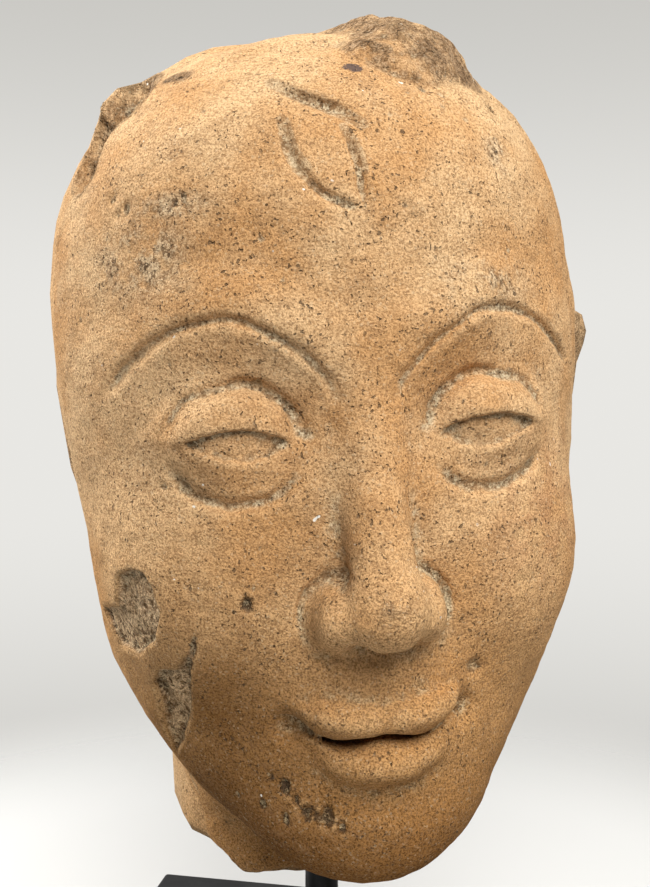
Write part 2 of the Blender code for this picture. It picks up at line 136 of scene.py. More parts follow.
# Small marks that only the finished surface has
NICKS = (
    ((0.086, 0.87), (0.096, 0.862)),
    ((0.108, 0.864), (0.118, 0.858)),
    ((0.106, 0.853), (0.111, 0.844)),
    ((0.128, 0.836), (0.137, 0.832)),
    ((-0.223, 0.764), (-0.23, 0.745)),
    ((-0.236, 0.772), (-0.241, 0.762)),
)
SMALL_PITS = (
    (-0.101, -0.242, 0.135, 0.006),
    (-0.09, -0.25, 0.123, 0.003),
    (-0.083, -0.257, 0.109, 0.006),
    (-0.076, -0.26, 0.114, 0.0035),
    (-0.07, -0.264, 0.105, 0.0045),
    (-0.061, -0.268, 0.108, 0.007),
    (-0.047, -0.275, 0.097, 0.004),
    (-0.124, -0.223, 0.111, 0.0045),
    (-0.103, -0.243, 0.099, 0.005),
    (-0.115, -0.232, 0.146, 0.003),
    (-0.133, -0.272, 0.344, 0.005),
    (-0.16, -0.125, 0.911, 0.0045),
    (-0.153, -0.124, 0.916, 0.003),
    (-0.178, -0.233, 0.756, 0.0025),
    (-0.169, -0.237, 0.759, 0.003),
    (-0.161, -0.24, 0.7585, 0.0025),
    (0.178, -0.181, 0.854, 0.006),
)
GRANULAR_SPOTS = (
    ((0.113, -0.185, 0.913), (0.036, 0.06, 0.027)),
    ((0.153, -0.16, 0.893), (0.024, 0.05, 0.02)),
    ((0.085, -0.161, 0.949), (0.035, 0.05, 0.02)),
    ((0.055, -0.194, 0.916), (0.02, 0.04, 0.011)),
    ((-0.165, -0.125, 0.909), (0.03, 0.05, 0.014)),
)
WEATHERED_SPOTS = (
    ((-0.215, -0.21, 0.7), (0.09, 0.12, 0.06)),
    ((-0.185, -0.23, 0.752), (0.07, 0.07, 0.022)),
    ((0.13, -0.25, 0.66), (0.09, 0.12, 0.04)),
    ((0.17, -0.24, 0.8), (0.03, 0.06, 0.04)),
)
GRITTY_BANDS = (
    (EYE_BAR, 0.012),
    (((-0.066, 0.83), (-0.061, 0.8), (-0.05, 0.78)), 0.012),
    (((-0.006, 0.822), (0.004, 0.795), (0.008, 0.775)), 0.009),
)

# Marks for the shader: a centre with radii, where a fade starts and its depth, or a reach round a break
STAIN = ((0.018, -0.209, 0.892), (0.02, 0.03, 0.012))
NOSE_WEAR = ((0, -0.375, 0.35), (0.05, 0.04, 0.05))
RIGHT_CHEEK = ((0.19, -0.2, 0.4), (0.14, 0.2, 0.16))
# The left jaw is darker: partly dirt, partly painted shade
LEFT_JAW = ((-0.17, -0.2, 0.15), (0.2, 0.24, 0.28))
LEFT_JAW_BACK = (-0.06, 0.08)
# Where the lower face starts to turn warmer and darker: partly its own tone, partly painted shade
LOWER_FACE_TOP = (0.62, 0.5)
LOWER_FACE_BACK = (0.1, 0.2)
# Where the painted shade under the chin starts, and how far back it reaches
UNDERSIDE_TOP = (0.17, 0.13)
UNDERSIDE_BACK = (-0.05, 0.1)
BROKEN_REACH = 0.004
PITTED_REACH = 0.0005

# Fine relief: heights, radii and depths in metres, and layers of noise as (wave length, seed, strength)
GRIT_HEIGHT = 0.00011
GRIT_LAYERS = ((0.011, 3, 1), (0.02, 4, 1))
DENT_HEIGHT = 0.00024
DENT_LAYERS = ((0.04, 8, 1), (0.09, 10, 1.2))
BREAK_HEIGHT = 0.0004
BREAK_LAYERS = ((0.009, 5, 0.7), (0.016, 6, 0.7), (0.03, 9, 0.6))
GRITTY_SHARE = 0.5
PIT_COUNT = 90
PIT_RADII = (0.0005, 0.0012)
PIT_SHRINK = (0.5, 1)
PIT_DEPTH_SHARE = 0.45

# How hollows are found: rounds of smoothing, and the depth in metres that counts as 1
FINE_ROUNDS = 6
FINE_DEPTH = 0.0003
BROAD_ROUNDS = 80
BROAD_DEPTH = 0.002

# Rod and block, with lengths in metres
ROD_SIDES = 96
BLOCK_ROUNDING = 0.0012
SHARP_ANGLE = math.radians(50)

# Camera: lengths in metres, the lens in millimetres
CAMERA_TURN = math.radians(10.7)
CAMERA_DISTANCE = 0.258
CAMERA_HEIGHT = 0.175
CAMERA_PITCH = math.radians(-5.0)
CAMERA_ASIDE = 0.0008
CAMERA_LENS = 44.64

# Surroundings: places and sizes in metres, power in watts
FLOOR_FADE = (0.16, 0.3)
LIGHT_TARGET = (0, 0, 0.16)
LIGHTS = (
    ("top", (0.2, -0.47, 0.62), 0.45, 7.5, (1, 0.98, 0.955)),
    ("left side", (-0.55, 0.12, 0.5), 0.3, 7.5, (1, 1, 1)),
    ("right side", (0.55, 0.05, 0.5), 0.3, 1.6, (1, 1, 1)),
)

# Colours, in linear light
BUFF = (0.64, 0.43, 0.235)
ORANGE = (0.52, 0.29, 0.125)
RED = (0.47, 0.23, 0.115)
BROWN = (0.27, 0.15, 0.07)
# Near black: the pores, and the dark painted shade in hollows
DARK = (0.075, 0.05, 0.032)
PALE = (0.66, 0.56, 0.39)
OLIVE = (0.34, 0.28, 0.175)
BREAK_DARK = (0.12, 0.07, 0.035)
BREAK_LIGHT = (0.4, 0.27, 0.16)
# Brown of the lower face: partly the clay's own colour, partly painted shade
UMBER_AND_SHADE = (0.3, 0.155, 0.055)
# Darkest brown of the left jaw: partly dirt, partly painted shade
DEEP_BROWN_AND_SHADE = (0.145, 0.07, 0.022)
CRUMB_DARK = (0.085, 0.048, 0.025)
CRUMB_LIGHT = (0.34, 0.225, 0.13)
CHIP_LIGHT = (0.85, 0.64, 0.42)
WEATHERED_DARK = (0.13, 0.085, 0.05)
WEATHERED_LIGHT = (0.6, 0.44, 0.27)
SAND_SHADE = ((0.6, 0.54, 0.47), (0.42, 0.37, 0.3))
SAND_SHINE = ((1.14, 1.14, 1.13), (1.24, 1.19, 1.06))
# Painted shade under the chin, multiplied onto the colour
UNDERSIDE_SHADE = (0.55, 0.49, 0.41)
SPECK = (0.8, 0.76, 0.68)
STAINED = (0.085, 0.062, 0.06)
BLACK_PAINT = (0.004, 0.004, 0.0045)
DUST = (0.09, 0.08, 0.07)
FLOOR_GREY = (0.5, 0.5, 0.49)
WALL_LIGHT = (0.81, 0.8, 0.77)
WALL_GREY = (0.58, 0.57, 0.54)
ROOM_DARK = (0.07, 0.07, 0.07)


def ellipsoid(p, centre, radii):
    """Signed distance, nearly, from an ellipsoid with its axes along x, y and z."""
    q = (p - np.array(centre)) / np.array(radii)
    near = np.sqrt((q * q).sum(-1))
    slope = np.sqrt(((q / np.array(radii)) ** 2).sum(-1))
    return near * (near - 1) / np.maximum(slope, 1e-6)


def limb(p, start, end, start_radius, end_radius):
    """Signed distance, nearly, from a round-ended limb that swells from one radius to the other."""
    start, end = np.array(start), np.array(end)
    axis = end - start
    along = np.clip((p - start) @ axis / (axis @ axis), 0, 1)
    gap = p - start - along[..., None] * axis
    return np.sqrt((gap * gap).sum(-1)) - (start_radius + (end_radius - start_radius) * along)


def join(a, b, blend):
    """Union of two fields, with a fillet about as wide as blend."""
    mix = np.clip(0.5 + 0.5 * (b - a) / blend, 0, 1)
    return b + (a - b) * mix - blend * mix * (1 - mix)


def cut(a, b, blend):
    """Field a with b taken away, with a rounded edge about as wide as blend."""
    return -join(-a, b, blend)


def curve(points, steps=24):
    """A smooth line through a few points, as a dense row of points."""
    points = np.array(points, float)
    ends = np.vstack([2 * points[0] - points[1], points, 2 * points[-1] - points[-2]])
    t = np.linspace(0, 1, steps, endpoint=False)[:, None]
    spans = []
    for before, a, b, after in zip(ends, ends[1:], ends[2:], ends[3:]):
        bend = 2 * before - 5 * a + 4 * b - after
        twist = 3 * (a - b) + after - before
        spans.append(a + 0.5 * t * (b - before + t * (bend + t * twist)))
    return np.vstack([*spans, points[-1:]])


def line_distance(x, z, line, reach):
    """Distance in a plane from a line of points, or reach where it is further."""
    out = np.full(x.shape, reach)
    low, high = line.min(0) - reach, line.max(0) + reach
    near = (x > low[0]) & (x < high[0]) & (z > low[1]) & (z < high[1])
    at = np.stack([x[near], z[near]], -1)
    best = np.full(len(at), reach)
    for a, b in zip(line, line[1:]):
        along = np.clip((at - a) @ (b - a) / ((b - a) @ (b - a)), 0, 1)
        best = np.minimum(best, np.hypot(*(at - a - along[:, None] * (b - a)).T))
    out[near] = best
    return out


def lump(distance, width):
    """1 on a line and 0 beyond width, with a smooth fall between."""
    t = np.clip(1 - distance / width, 0, 1)
    return t * t * (3 - 2 * t)


def noise(p, scale, seed):
    """Smooth random values from -1 to 1 with waves about as long as scale."""
    size = 32
    table = np.random.default_rng(seed).uniform(-1, 1, (size, size, size))
    q = p / scale
    cell = np.floor(q).astype(int)
    t = q - cell
    t = t * t * (3 - 2 * t)
    total = 0
    for dx in (0, 1):
        for dy in (0, 1):
            for dz in (0, 1):
                weight = (t[..., 0] if dx else 1 - t[..., 0]) * (t[..., 1] if dy else 1 - t[..., 1])
                weight = weight * (t[..., 2] if dz else 1 - t[..., 2])
                at = (cell + (dx, dy, dz)) % size
                total = total + weight * table[at[..., 0], at[..., 1], at[..., 2]]
    return total


def broken(p, shape, height, coarse):
    """The field shape with the crests of broken clay on its surface, or creases if height is below 0."""
    near = np.abs(shape) < 4 * abs(height)
    at = p[near]
    first = 2 * np.abs(noise(at, coarse, NOISE_SEED)) - 1
    second = 2 * np.abs(noise(at, coarse / 2.3, NOISE_SEED + 1)) - 1
    uneven = shape.copy()
    uneven[near] += height * (0.6 * first + 0.3 * second + 0.2 * noise(at, coarse / 5, NOISE_SEED + 2))
    return uneven


def worn(p, head):
    """The slow unevenness of a surface modelled by hand."""
    near = np.abs(head) < 0.02
    uneven = head.copy()
    uneven[near] += 0.0025 * noise(p[near], 0.13, NOISE_SEED) + 0.001 * noise(p[near], 0.05, NOISE_SEED)
    return uneven


def incised(q, head, line, width, height):
    """The field with a ridge that wanders a little along a line, or a groove where height is below 0."""
    line = np.array(line)
    low, high = line.min(0) - 2 * width, line.max(0) + 2 * width
    x, y, z = q.T
    near = (y < 0) & (x > low[0]) & (x < high[0]) & (z > low[1]) & (z < high[1])
    at = q[near]
    x = at[:, 0] + LINE_WANDER * noise(at, LINE_WAVE, NOISE_SEED)
    z = at[:, 2] + LINE_WANDER * noise(at, LINE_WAVE, NOISE_SEED + 1)
    ends = np.minimum(np.hypot(x - line[0, 0], z - line[0, 1]), np.hypot(x - line[-1, 0], z - line[-1, 1]))
    fade = np.clip(ends / (3 * width), 0.15, 1) * np.clip(-at[:, 1] / 0.1, 0, 1)
    changed = head.copy()
    changed[near] -= height * fade * lump(line_distance(x, z, line, width), width)
    return changed


def skull_and_jaw(q):
    skull = ellipsoid(q, (0, 0.04, 0.65), (0.322, 0.322, 0.318))
    face = ellipsoid(q, (0, -0.03, 0.43), (0.296, 0.262, 0.42))
    forehead = ellipsoid(q, (0, -0.03, 0.755), (0.275, 0.25, 0.185))
    head = join(join(skull, face, 0.1), forehead, 0.06)
    head = join(head, limb(q, (0.16, -0.01, 0.27), (0.055, -0.17, 0.1), 0.085, 0.08), 0.09)
    head = join(head, ellipsoid(q, (0.135, -0.145, 0.36), (0.12, 0.11, 0.14)), 0.06)
    head = join(head, ellipsoid(q, (0, -0.165, 0.22), (0.115, 0.122, 0.13)), 0.05)
    return join(head, ellipsoid(q, (0, -0.213, 0.08), (0.08, 0.07, 0.072)), 0.05)


def brows(q, head):
    arc = curve(BROW_ARC)
    head = incised(q, head, arc, 0.06, 0.014)
    return incised(q, head, arc - (0, 0.01), 0.009, -0.007)


def eye_sockets(q, head):
    socket = ellipsoid(q, (EYE_OUT + 0.004, -0.33, EYE_LINE + 0.016), (0.1, 0.064, 0.066))
    return cut(head, socket, 0.045)


def eyes(q, head):
    """Heavy lids that stand a little off the eyeball, between two incised lines."""
    ball = ellipsoid(q, (EYE_OUT, -0.198, EYE_LINE), (0.084, 0.078, 0.072))
    upper = ellipsoid(q, (EYE_OUT, -0.196, EYE_LINE + 0.003), (0.094, 0.091, 0.079))
    lower = ellipsoid(q, (EYE_OUT, -0.196, EYE_LINE - 0.002), (0.09, 0.086, 0.07))
    across = np.clip((q[:, 0] - EYE_OUT) / (0.5 * EYE_WIDTH), -1, 1)
    bow = 1 - across * across
    middle = EYE_LINE - 0.01 + 0.006 * across
    upper = cut(upper, q[:, 2] - middle - 0.02 * bow, 0.005)
    lower = cut(lower, middle - 0.018 * bow - q[:, 2], 0.005)
    head = join(join(head, lower, 0.02), upper, 0.006)
    head = join(head, ball, 0.003)
    head = incised(q, head, curve(LID_CREASE), 0.012, -0.008)
    return incised(q, head, curve(UNDER_EYE), 0.012, -0.007)


def nose(q, head):
    bridge = limb(q, (0, -0.258, 0.58), (0, -0.322, 0.372), 0.024, 0.034)
    tip = ellipsoid(q, (0, -0.332, NOSE_BASE + 0.045), (0.04, 0.043, 0.04))
    wing = ellipsoid(q, (0.045, -0.292, NOSE_BASE + 0.035), (0.025, 0.044, 0.033))
    form = join(join(bridge, tip, 0.02), wing, 0.018)
    head = join(head, cut(form, q[:, 2] - NOSE_BASE, 0.012), 0.022)
    head = incised(q, head, curve(WING_GROOVE), 0.011, -0.007)
    nostril = ellipsoid(q, (0.024, -0.322, NOSE_BASE + 0.002), (0.014, 0.022, 0.018))
    return cut(head, nostril, 0.006)


def mouth(q, head):
    """Full lips a little apart, with their corners just raised."""
    head = cut(head, limb(q, (0, -0.308, 0.288), (0, -0.306, 0.238), 0.006, 0.012), 0.016)
    head = cut(head, limb(q, (0, -0.315, 0.112), (0.045, -0.3, 0.122), 0.012, 0.008), 0.03)
    share = q[:, 0] / MOUTH_HALF_WIDTH
    rise = 0.012 * share ** 2
    at = np.stack([q[:, 0], q[:, 1], q[:, 2] - rise], -1)
    upper = ellipsoid(at, (0.022, -0.25, MOUTH_LINE + 0.019), (0.07, 0.058, 0.027))
    lower = ellipsoid(at, (0, -0.243, MOUTH_LINE - 0.032), (0.074, 0.062, 0.032))
    head = join(join(head, upper, 0.008), lower, 0.009)
    line = MOUTH_LINE - 0.006 + 0.005 * np.cos(2 * math.pi * np.clip(share, 0, 1))
    height = 0.0055 * np.clip(1 - share ** 2, 0, 1)
    gap = np.maximum(np.abs(at[:, 2] - line) - height, q[:, 1] + 0.25)
    head = cut(head, gap, 0.008)
    corner = ellipsoid(q, (MOUTH_HALF_WIDTH + 0.004, -0.262, MOUTH_LINE + 0.008), (0.011, 0.02, 0.014))
    return cut(head, corner, 0.022)


def ear_stubs(p):
    """Two broken stubs, the one on the left almost flush."""
    right = limb(p, (0.3, 0.05, 0.43), (0.325, 0.03, 0.6), 0.03, 0.036)
    left = limb(p, (-0.275, 0.05, 0.45), (-0.285, 0.04, 0.57), 0.024, 0.03)
    return [broken(p, right, 0.014, 0.07), broken(p, left, 0.014, 0.07)]


def neck_loss(p):
    """What is broken away below the jaw, higher on the left."""
    x, y, z = p.T
    low = NECK_BREAK - 0.25 * y - z
    left = (NECK_BREAK - 0.6 * (x + 0.1) - z) / 1.17
    return broken(p, -np.maximum(low, left), 0.012, 0.09)


def neck(p, head):
    stub = limb(p, (-0.045, 0.05, -0.2), (-0.02, 0.07, 0.3), 0.165, 0.19)
    return join(head, cut(stub, neck_loss(p), 0.015), 0.045)


def hair_lump(p):
    return broken(p, ellipsoid(p, HAIR_LUMP, HAIR_LUMP_SIZE), 0.016, 0.11)


def hair_scoops(p):
    return [broken(p, limb(p, start, end, *SCOOP_RADII), 0.01, 0.07) for start, end in HAIR_SCOOPS]


def behind_hairline(p):
    """Below 0 in front of the hairline, which wanders a little."""
    behind = HAIR_SLOPE[0] * (p[:, 1] - HAIRLINE[0]) + HAIR_SLOPE[1] * (p[:, 2] - HAIRLINE[1])
    return behind + 0.02 * noise(p, 0.15, NOISE_SEED)


def broken_hair(p, head):
    """A worn cap behind the hairline, with a broken lump right of the crown and only a rim on the left."""
    depth = HAIR_DEPTH * np.clip((p[:, 0] - HAIR_FADE[0]) / (HAIR_FADE[1] - HAIR_FADE[0]), 0, 1)
    cap = cut(broken(p, head - depth, -0.008, 0.16), behind_hairline(p), 0.012)
    head = join(join(head, cap, 0.012), hair_lump(p), 0.01)
    for start, end in zip(HAIR_RIM, HAIR_RIM[1:]):
        head = join(head, broken(p, limb(p, start, end, 0.036, 0.036), 0.008, 0.09), 0.02)
    for scoop in hair_scoops(p):
        head = cut(head, scoop, 0.004)
    return head


def third_eye(p, head):
    """An incised leaf that leans on the forehead, below a rough bar."""
    for side in (EYE_LEAF_LEFT, EYE_LEAF_RIGHT):
        head = incised(p, head, curve(side), 0.007, -0.007)
    return incised(p, head, curve(EYE_BAR), 0.011, -0.011)


def lost_share(p, outline):
    """1 inside an outline drawn on the side of the head and 0 outside it, with a narrow wall between."""
    outline = np.array(outline)
    middle = outline.mean(0)
    across = np.array((-middle[1], middle[0])) / np.hypot(middle[0], middle[1])
    near = np.linalg.norm(p - middle, axis=1) < np.linalg.norm(outline - middle, axis=1).max() + CHIP_WALL
    at = p[near]
    u = at[:, :2] @ across + LINE_WANDER * noise(at, LINE_WAVE, NOISE_SEED)
    v = at[:, 2] + LINE_WANDER * noise(at, LINE_WAVE, NOISE_SEED + 1)
    ring = np.stack([outline[:, :2] @ across, outline[:, 2]], -1)
    ring = np.vstack([ring, ring[:1]])
    inside = np.zeros(len(at), bool)
    for a, b in zip(ring, ring[1:]):
        side = (b[0] - a[0]) * (v - a[1]) - (b[1] - a[1]) * (u - a[0])
        inside ^= ((a[1] > v) != (b[1] > v)) & ((side > 0) == (b[1] > a[1]))
    share = np.zeros(len(p))
    share[near] = inside * (1 - lump(line_distance(u, v, ring, CHIP_WALL), CHIP_WALL))
    return share


def cheek_chips(p):
    """1 where the two chips on the left cheek are, the lower one with a straight edge towards the mouth."""
    return np.maximum(lost_share(p, UPPER_CHIP), lost_share(p, LOWER_CHIP))


def small_pits(p):
    """The fields of the pits that only the finished surface has."""
    return [
        broken(p, ellipsoid(p, (x, y, z), (radius, radius, 1.5 * radius)), 0.3 * radius, 2 * radius)
        for x, y, z, radius in SMALL_PITS
    ]


def damage(p, head):
    """Nicks, the two cheek chips and the pits, taken out of the head."""
    for nick in NICKS:
        head = incised(p, head, nick, 0.005, -0.014)
    share = cheek_chips(p)
    gone = share > 0
    head = head.copy()
    head[gone] += CHIP_DEPTH * share[gone] * (1 + CHIP_UNEVEN * noise(p[gone], CHIP_WAVE, NOISE_SEED))
    for x, y, z, radius in PITS:
        head = cut(head, ellipsoid(p, (x, y, z), (radius,) * 3), 0.003)
    for pit in small_pits(p):
        head = cut(head, pit, 0.002)
    return head


def rod_socket(p):
    """The round hole for the rod, up to its end."""
    low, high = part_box("stand_rod")
    radius = (high.x - low.x) / 2 + CLEARANCE
    x, y, z = (head_to_row(p) - np.array((low.x + high.x, low.y + high.y, 0)) / 2).T
    return np.maximum(np.hypot(x, y) - radius, z - high.z - CLEARANCE) / HEAD_HEIGHT


def head_field(p):
    """Signed distance, nearly, from the head's surface at points p, all in shares of HEAD_HEIGHT."""
    q = np.stack([np.abs(p[:, 0]), p[:, 1], p[:, 2]], -1)
    head = skull_and_jaw(q)
    for feature in (brows, eye_sockets, eyes, nose, mouth):
        head = feature(q, head)
    for stub in ear_stubs(p):
        head = join(head, stub, 0.015)
    for feature in (neck, broken_hair, worn, third_eye, damage):
        head = feature(p, head)
    return cut(head, rod_socket(p), 0.002)


def head_turn():
    """How the head is turned and leans in the row frame, as a matrix."""
    return np.array(Matrix.Rotation(HEAD_TURN, 3, "Z") @ Matrix.Rotation(HEAD_LEAN, 3, "Y"))


def head_to_row(p):
    """From the head's own space to the row frame, in metres."""
    chin = np.array((0, 0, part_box("stand_base")[1].z + CHIN_ABOVE_BASE))
    return (p * HEAD_HEIGHT + np.array((HEAD_ASIDE, 0, 0))) @ head_turn().T + chin


def sample_field(step):
    """The field at each point of a regular grid, exact near the surface and rough elsewhere."""
    counts = np.ceil((SPACE_HIGH - SPACE_LOW) / step).astype(int)
    middle = (SAMPLE_BLOCK - 1) / 2
    rows = [middle + SAMPLE_BLOCK * np.arange(-(-count // SAMPLE_BLOCK)) for count in counts]
    middles = [low + step * row for low, row in zip(SPACE_LOW, rows)]
    blocks = np.stack(np.meshgrid(*middles, indexing="ij"), -1)
    values = head_field(blocks.reshape(-1, 3)).reshape(blocks.shape[:3]).astype(np.float32)
    for axis, count in enumerate(counts):
        values = np.repeat(values, SAMPLE_BLOCK, axis).take(np.arange(count), axis)
    near = np.argwhere(np.abs(values) < SAMPLE_BLOCK * step + SAMPLE_MARGIN)
    values[tuple(near.T)] = head_field(SPACE_LOW + step * near)
    return values


def mend(values):
    """Fills the places where two stretches of the surface would touch along one edge or at one corner."""
    low, high = slice(None, -1), slice(1, None)
    while True:
        solid = values < 0
        fill = np.zeros_like(solid)
        for square in ((0, 1), (0, 2), (1, 2)):
            cells = [[slice(None)] * 3 for _ in range(4)]
            for cell, (i, j) in zip(cells, ((low, low), (high, low), (high, high), (low, high))):
                cell[square[0]], cell[square[1]] = i, j
            a, b, c, d = (tuple(cell) for cell in cells)
            crossed = (solid[a] == solid[c]) & (solid[b] == solid[d]) & (solid[a] != solid[b])
            for cell in (a, b, c, d):
                fill[cell] |= crossed & ~solid[cell]
        if not fill.any():
            return values
        values = np.where(fill, -np.abs(values), values)


def surface_net(values, step):
    """A vertex in each cell that the surface crosses, and a four-sided face round each crossed edge."""
    inside = values < 0
    counts = sum(
        inside[i : i - 1 or None, j : j - 1 or None, k : k - 1 or None].astype(np.int8)
        for i in (0, 1)
        for j in (0, 1)
        for k in (0, 1)
    )
    cells = np.argwhere((counts > 0) & (counts < 8))
    number = np.full(counts.shape, -1)
    number[tuple(cells.T)] = np.arange(len(cells))
    corners = [(i, j, k) for i in (0, 1) for j in (0, 1) for k in (0, 1)]
    total, crossings = np.zeros((len(cells), 3)), np.zeros((len(cells), 1))
    for a in corners:
        for b in corners:
            if sum(b) != sum(a) + 1 or any(n < m for m, n in zip(a, b)):
                continue
            va, vb = values[tuple((cells + a).T)], values[tuple((cells + b).T)]
            crossed = (va < 0) != (vb < 0)
            share = np.where(crossed, va / np.where(crossed, va - vb, 1), 0)[:, None]
            total += crossed[:, None] * (cells + a + share * (np.array(b) - a))
            crossings += crossed[:, None]
    faces = []
    for axis in range(3):
        along, u, v = (np.eye(3, dtype=int)[(axis + n) % 3] for n in (0, 1, 2))
        last = inside.shape - along
        here = inside[: last[0], : last[1], : last[2]]
        ahead = inside[along[0] :, along[1] :, along[2] :]
        for edges, order in ((here & ~ahead, 1), (~here & ahead, -1)):
            at = np.argwhere(edges)
            ring = [number[tuple((at - back).T)] for back in (0 * u, u, u + v, v)]
            faces.append(np.stack(ring[::order], -1))
    return SPACE_LOW + step * total / crossings, np.vstack(faces)


def vertex_array(mesh, name="co"):
    values = np.empty(len(mesh.vertices) * 3)
    mesh.vertices.foreach_get(name, values)
    return values.reshape(-1, 3)


def head_mesh():
    """The head in its own space, as a mesh with its finest triangles on the face."""
    step = SAMPLE_STEP / HEAD_HEIGHT
    corners, faces = surface_net(mend(sample_field(step)), step)
    unit = ROUNDING / HEAD_HEIGHT
    dense = bpy.data.meshes.new("dense head")
    dense.from_pydata((np.round(corners / unit) * unit).tolist(), [], faces.tolist())
    shape = bpy.data.objects.new("dense head", dense)
    bpy.context.scene.collection.objects.link(shape)
    plain = shape.vertex_groups.new(name="plain")
    back = corners[:, 1] > BACK_START
    plain.add(np.flatnonzero(back).tolist(), 1, "REPLACE")
    plain.add(np.flatnonzero(~back).tolist(), FRONT_WEIGHT, "REPLACE")
    fewer = shape.modifiers.new("Fewer faces", "DECIMATE")
    fewer.ratio = HEAD_TRIANGLES / (2 * len(faces))
    fewer.use_collapse_triangulate = True
    fewer.vertex_group = plain.name
    fewer.vertex_group_factor = 1
    mesh = bpy.data.meshes.new_from_object(shape.evaluated_get(bpy.context.evaluated_depsgraph_get()))
    bpy.data.objects.remove(shape)
    mesh.name = "head_surface"
    return mesh


def smoothed(points, edges, rounds):
    """The points after each has moved to the middle of its neighbours, rounds times."""
    count = np.bincount(edges.ravel(), minlength=len(points))[:, None]
    for _ in range(rounds):
        total = np.zeros_like(points)
        for axis in range(3):
            total[:, axis] = np.bincount(edges[:, 0], points[edges[:, 1], axis], len(points))
            total[:, axis] += np.bincount(edges[:, 1], points[edges[:, 0], axis], len(points))
        points = 0.5 * points + 0.5 * total / count
    return points


def on_surface(fields, width):
    """1 where one of the fields is near 0, for points that lie on the head."""
    return np.clip(2 - np.abs(np.array(fields)).min(0) / width, 0, 1)


def spot(p, centre, radii):
    """1 at a centre and 0 beyond its radii along x, y and z."""
    return lump(np.sqrt((((p - np.array(centre)) / np.array(radii)) ** 2).sum(-1)), 1)


def spots(p, places):
    """The highest value of several spots."""
    return np.max([spot(p, centre, radii) for centre, radii in places], 0)


def faded(values, start, depth):
    """0 above start, 1 more than depth below it, and even between."""
    return np.clip((start - values) / depth, 0, 1)


def lost_parts(p):
    """The surfaces of all that is broken away round the hair, the ears and the neck."""
    return [hair_lump(p), neck_loss(p), *hair_scoops(p), *ear_stubs(p)]


def gritty_bands(p):
    """1 along the rough bands of the mark on the forehead, falling off smoothly."""
    x, y, z = p.T
    bands = [lump(line_distance(x, z, curve(line), width), width) for line, width in GRITTY_BANDS]
    return np.max(bands, 0) * (y < 0)


def add_marks(mesh, p, hollow, recess):
    """Per-vertex shares that the terracotta's shader reads, in place on the head."""
    y, z = p[:, 1], p[:, 2]
    marks = {
        "hollow": hollow,
        "recess": recess,
        "broken": on_surface(lost_parts(p), BROKEN_REACH),
        "chipped": cheek_chips(p),
        "gritty": gritty_bands(p),
        "granular": spots(p, GRANULAR_SPOTS),
        "weathered": spots(p, WEATHERED_SPOTS),
        "pitted": on_surface(small_pits(p), PITTED_REACH),
        "nose_wear": spot(p, *NOSE_WEAR),
        # The lower face: warmer and darker clay, partly painted shade
        "lower_face_tone_and_shade": faded(z, *LOWER_FACE_TOP) * faded(y, *LOWER_FACE_BACK),
        # The left jaw: darker with dirt and partly with painted shade
        "left_jaw_dirt_and_shade": spot(p, *LEFT_JAW) * faded(y, *LEFT_JAW_BACK),
        "right_cheek": spot(p, *RIGHT_CHEEK),
        # Painted shade under the chin
        "underside_shade": faded(z, *UNDERSIDE_TOP) * faded(y, *UNDERSIDE_BACK),
        "stain": spot(p, *STAIN),
    }
    for name, values in marks.items():
        attribute = mesh.attributes.new(name, "FLOAT", "POINT")
        attribute.data.foreach_set("value", values.astype(np.float32))


def layered(p, layers):
    """Layers of noise added up, each with its own wave length, seed and strength."""
    return sum(strength * noise(p, length, seed) for length, seed, strength in layers)


def relief(p):
    """Grit and dents all over, rougher breaks and scattered pits, as heights in metres along the normals."""
    broken_share = on_surface(lost_parts(p), BROKEN_REACH)
    bands = GRITTY_SHARE * gritty_bands(p)
    rough = np.max((broken_share, cheek_chips(p), spots(p, GRANULAR_SPOTS), bands), 0)
    height = GRIT_HEIGHT * layered(p, GRIT_LAYERS)
    height += DENT_HEIGHT * layered(p, DENT_LAYERS)
    height += BREAK_HEIGHT * rough * layered(p, BREAK_LAYERS)
    tree = kdtree.KDTree(len(p))
    for index, point in enumerate(p):
        tree.insert(point, index)
    tree.balance()
    chance = np.random.default_rng(NOISE_SEED)
    for at in chance.choice(len(p), PIT_COUNT, replace=False):
        radius = chance.uniform(*PIT_RADII) * chance.uniform(*PIT_SHRINK)
        for _, index, distance in tree.find_range(p[at], radius / HEAD_HEIGHT):
            height[index] -= PIT_DEPTH_SHARE * radius * (1 - (distance * HEAD_HEIGHT / radius) ** 2)
    return height


def make_head():
    """The head's surface with its relief, kept inside the solid's box, and the marks for its shader."""
    mesh = head_mesh()
    p = vertex_array(mesh)
    edges = np.empty(len(mesh.edges) * 2, int)
    mesh.edges.foreach_get("vertices", edges)
    edges = edges.reshape(-1, 2)
    normals = vertex_array(mesh, "normal") @ head_turn().T
    at = head_to_row(p) + relief(p)[:, None] * normals
    at = np.clip(at, *np.array(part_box("terracotta_head")))
    mesh.vertices.foreach_set("co", at.ravel())
    mesh.update()
    normals = vertex_array(mesh, "normal")
    hollow = ((smoothed(at, edges, FINE_ROUNDS) - at) * normals).sum(1) / FINE_DEPTH
    recess = ((smoothed(at, edges, BROAD_ROUNDS) - at) * normals).sum(1) / BROAD_DEPTH
    add_marks(mesh, p, hollow, recess)
    mesh.shade_smooth()
    head = bpy.data.objects.new("head_surface", mesh)
    bpy.context.scene.collection.objects.link(head)
    mesh.materials.append(terracotta())
    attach(head, "root")
    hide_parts("terracotta_head")


